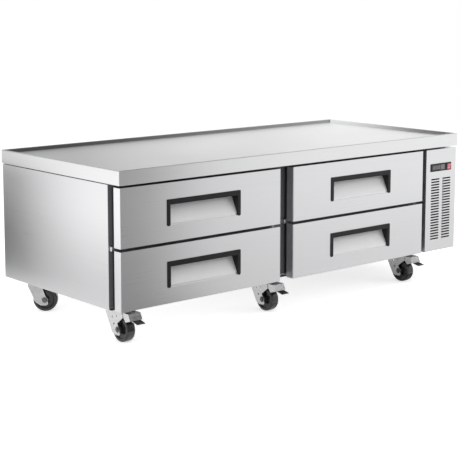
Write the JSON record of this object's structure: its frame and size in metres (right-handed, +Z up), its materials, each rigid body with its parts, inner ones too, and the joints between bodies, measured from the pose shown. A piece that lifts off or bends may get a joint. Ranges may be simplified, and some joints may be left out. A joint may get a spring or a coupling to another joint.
{
  "type": "refrigerated chef base",
  "caption": "Low refrigerated chef base on casters: insulated drawers for food pans, black recessed handles, a worktop with a raised edge, and a louvred refrigeration unit at one end.",
  "frame": {"origin": "on the floor, under the middle of the whole object's box, brake pedals included", "axes": "+X along the cabinet towards the refrigeration unit, -Y to the front with the drawers, +Z up"},
  "size_m": [1.84, 0.811, 0.648],
  "materials": {
    "stainless": "brushed stainless sheet, grain along the length",
    "inner_steel": "plain stainless sheet of the inner liner and slides",
    "foam": "rigid polyurethane foam",
    "dark_frame": "dark moulded frame",
    "black_plastic": "black moulded plastic",
    "grey_plastic": "grey controller housing",
    "red_plastic": "red rocker",
    "gasket": "grey magnetic door gasket",
    "wheel": "black caster wheel",
    "zinc": "bright zinc-plated pressed steel",
    "black_enamel": "black enamelled steel",
    "aluminium": "aluminium fins on copper tubes"
  },
  "bodies": {
    "root": {"worktop": "stainless", "outer_shell": "stainless", "insulation_foam": "foam", "inner_liner": "inner_steel", "front_frame": "dark_frame", "unit_front_cover": "stainless", "unit_back_cover": "stainless", "cable_gland": "black_plastic", "control_panel": "black_plastic", "thermostat": "grey_plastic", "left_slide_rack": "inner_steel", "right_slide_rack": "inner_steel", "centre_slide_rack": "inner_steel", "unit_tray": "stainless", "condenser_coil": "aluminium", "condenser_fan_shroud": "black_enamel", "compressor": "black_enamel", "evaporator_cover": "inner_steel", "evaporator_coil": "aluminium", "front_left_caster_plate": "zinc", "front_middle_caster_plate": "zinc", "front_right_caster_plate": "zinc", "rear_left_caster_plate": "zinc", "rear_middle_caster_plate": "zinc", "rear_right_caster_plate": "zinc"},
    "lower_left_drawer": {"lower_left_drawer_front": "stainless", "lower_left_drawer_handle": "black_plastic", "lower_left_drawer_gasket": "gasket", "lower_left_drawer_pan_frame": "inner_steel"},
    "lower_right_drawer": {"lower_right_drawer_front": "stainless", "lower_right_drawer_handle": "black_plastic", "lower_right_drawer_gasket": "gasket", "lower_right_drawer_pan_frame": "inner_steel"},
    "upper_left_drawer": {"upper_left_drawer_front": "stainless", "upper_left_drawer_handle": "black_plastic", "upper_left_drawer_gasket": "gasket", "upper_left_drawer_pan_frame": "inner_steel"},
    "upper_right_drawer": {"upper_right_drawer_front": "stainless", "upper_right_drawer_handle": "black_plastic", "upper_right_drawer_gasket": "gasket", "upper_right_drawer_pan_frame": "inner_steel"},
    "front_left_caster": {"front_left_caster_fork": "zinc"},
    "front_left_caster_wheel": {"front_left_wheel": "wheel"},
    "front_middle_caster": {"front_middle_caster_fork": "zinc"},
    "front_middle_caster_wheel": {"front_middle_wheel": "wheel"},
    "front_right_caster": {"front_right_caster_fork": "zinc"},
    "front_right_caster_wheel": {"front_right_wheel": "wheel"},
    "rear_left_caster": {"rear_left_caster_fork": "zinc"},
    "rear_left_caster_wheel": {"rear_left_wheel": "wheel"},
    "rear_middle_caster": {"rear_middle_caster_fork": "zinc"},
    "rear_middle_caster_wheel": {"rear_middle_wheel": "wheel"},
    "rear_right_caster": {"rear_right_caster_fork": "zinc"},
    "rear_right_caster_wheel": {"rear_right_wheel": "wheel"},
    "front_left_pedal": {"front_left_brake_pedal": "zinc"},
    "front_middle_pedal": {"front_middle_brake_pedal": "zinc"},
    "front_right_pedal": {"front_right_brake_pedal": "zinc"},
    "rocker": {"power_switch": "red_plastic"},
    "condenser_fan_rotor": {"condenser_fan": "black_plastic"},
    "evaporator_fan_rotor": {"evaporator_fan": "black_plastic"}
  },
  "joints": [
    {"name": "lower_left_drawer_slide", "type": "slide", "parent": "root", "child": "lower_left_drawer", "axis": [0, -1, 0], "range_m": [0, 0.48]},
    {"name": "lower_right_drawer_slide", "type": "slide", "parent": "root", "child": "lower_right_drawer", "axis": [0, -1, 0], "range_m": [0, 0.48]},
    {"name": "upper_left_drawer_slide", "type": "slide", "parent": "root", "child": "upper_left_drawer", "axis": [0, -1, 0], "range_m": [0, 0.48]},
    {"name": "upper_right_drawer_slide", "type": "slide", "parent": "root", "child": "upper_right_drawer", "axis": [0, -1, 0], "range_m": [0, 0.48]},
    {"name": "front_left_swivel", "type": "hinge", "parent": "root", "child": "front_left_caster", "pos_m": [-0.837, -0.2565, 0.1], "axis": [0, 0, 1], "continuous": true},
    {"name": "front_left_wheel_spin", "type": "hinge", "parent": "front_left_caster", "child": "front_left_caster_wheel", "pos_m": [-0.837, -0.2985, 0.049], "axis": [1, 0, 0], "continuous": true},
    {"name": "front_middle_swivel", "type": "hinge", "parent": "root", "child": "front_middle_caster", "pos_m": [-0.128, -0.2565, 0.1], "axis": [0, 0, 1], "continuous": true},
    {"name": "front_middle_wheel_spin", "type": "hinge", "parent": "front_middle_caster", "child": "front_middle_caster_wheel", "pos_m": [-0.128, -0.2985, 0.049], "axis": [1, 0, 0], "continuous": true},
    {"name": "front_right_swivel", "type": "hinge", "parent": "root", "child": "front_right_caster", "pos_m": [0.68, -0.2565, 0.1], "axis": [0, 0, 1], "continuous": true},
    {"name": "front_right_wheel_spin", "type": "hinge", "parent": "front_right_caster", "child": "front_right_caster_wheel", "pos_m": [0.68, -0.2985, 0.049], "axis": [1, 0, 0], "continuous": true},
    {"name": "rear_left_swivel", "type": "hinge", "parent": "root", "child": "rear_left_caster", "pos_m": [-0.837, 0.3055, 0.1], "axis": [0, 0, 1], "continuous": true},
    {"name": "rear_left_wheel_spin", "type": "hinge", "parent": "rear_left_caster", "child": "rear_left_caster_wheel", "pos_m": [-0.80579, 0.2774, 0.049], "axis": [0.6691, 0.7431, 0], "continuous": true},
    {"name": "rear_middle_swivel", "type": "hinge", "parent": "root", "child": "rear_middle_caster", "pos_m": [-0.128, 0.3055, 0.1], "axis": [0, 0, 1], "continuous": true},
    {"name": "rear_middle_wheel_spin", "type": "hinge", "parent": "rear_middle_caster", "child": "rear_middle_caster_wheel", "pos_m": [-0.128, 0.2635, 0.049], "axis": [1, 0, 0], "continuous": true},
    {"name": "rear_right_swivel", "type": "hinge", "parent": "root", "child": "rear_right_caster", "pos_m": [0.68, 0.3055, 0.1], "axis": [0, 0, 1], "continuous": true},
    {"name": "rear_right_wheel_spin", "type": "hinge", "parent": "rear_right_caster", "child": "rear_right_caster_wheel", "pos_m": [0.68, 0.2635, 0.049], "axis": [1, 0, 0], "continuous": true},
    {"name": "front_left_brake", "type": "hinge", "parent": "front_left_caster", "child": "front_left_pedal", "pos_m": [-0.837, -0.3225, 0.112], "axis": [1, 0, 0], "range_deg": [0, 12]},
    {"name": "front_middle_brake", "type": "hinge", "parent": "front_middle_caster", "child": "front_middle_pedal", "pos_m": [-0.128, -0.3225, 0.112], "axis": [1, 0, 0], "range_deg": [0, 12]},
    {"name": "front_right_brake", "type": "hinge", "parent": "front_right_caster", "child": "front_right_pedal", "pos_m": [0.68, -0.3225, 0.112], "axis": [1, 0, 0], "range_deg": [0, 12]},
    {"name": "power_switch_rock", "type": "hinge", "parent": "root", "child": "rocker", "pos_m": [0.871, -0.3861, 0.505], "axis": [1, 0, 0], "range_deg": [-14, 0]},
    {"name": "condenser_fan_spin", "type": "hinge", "parent": "root", "child": "condenser_fan_rotor", "pos_m": [0.82, -0.25, 0.269], "axis": [0, 1, 0], "continuous": true},
    {"name": "evaporator_fan_spin", "type": "hinge", "parent": "root", "child": "evaporator_fan_rotor", "pos_m": [-0.104, 0.25, 0.4601], "axis": [0, 1, 0], "continuous": true}
  ]
}
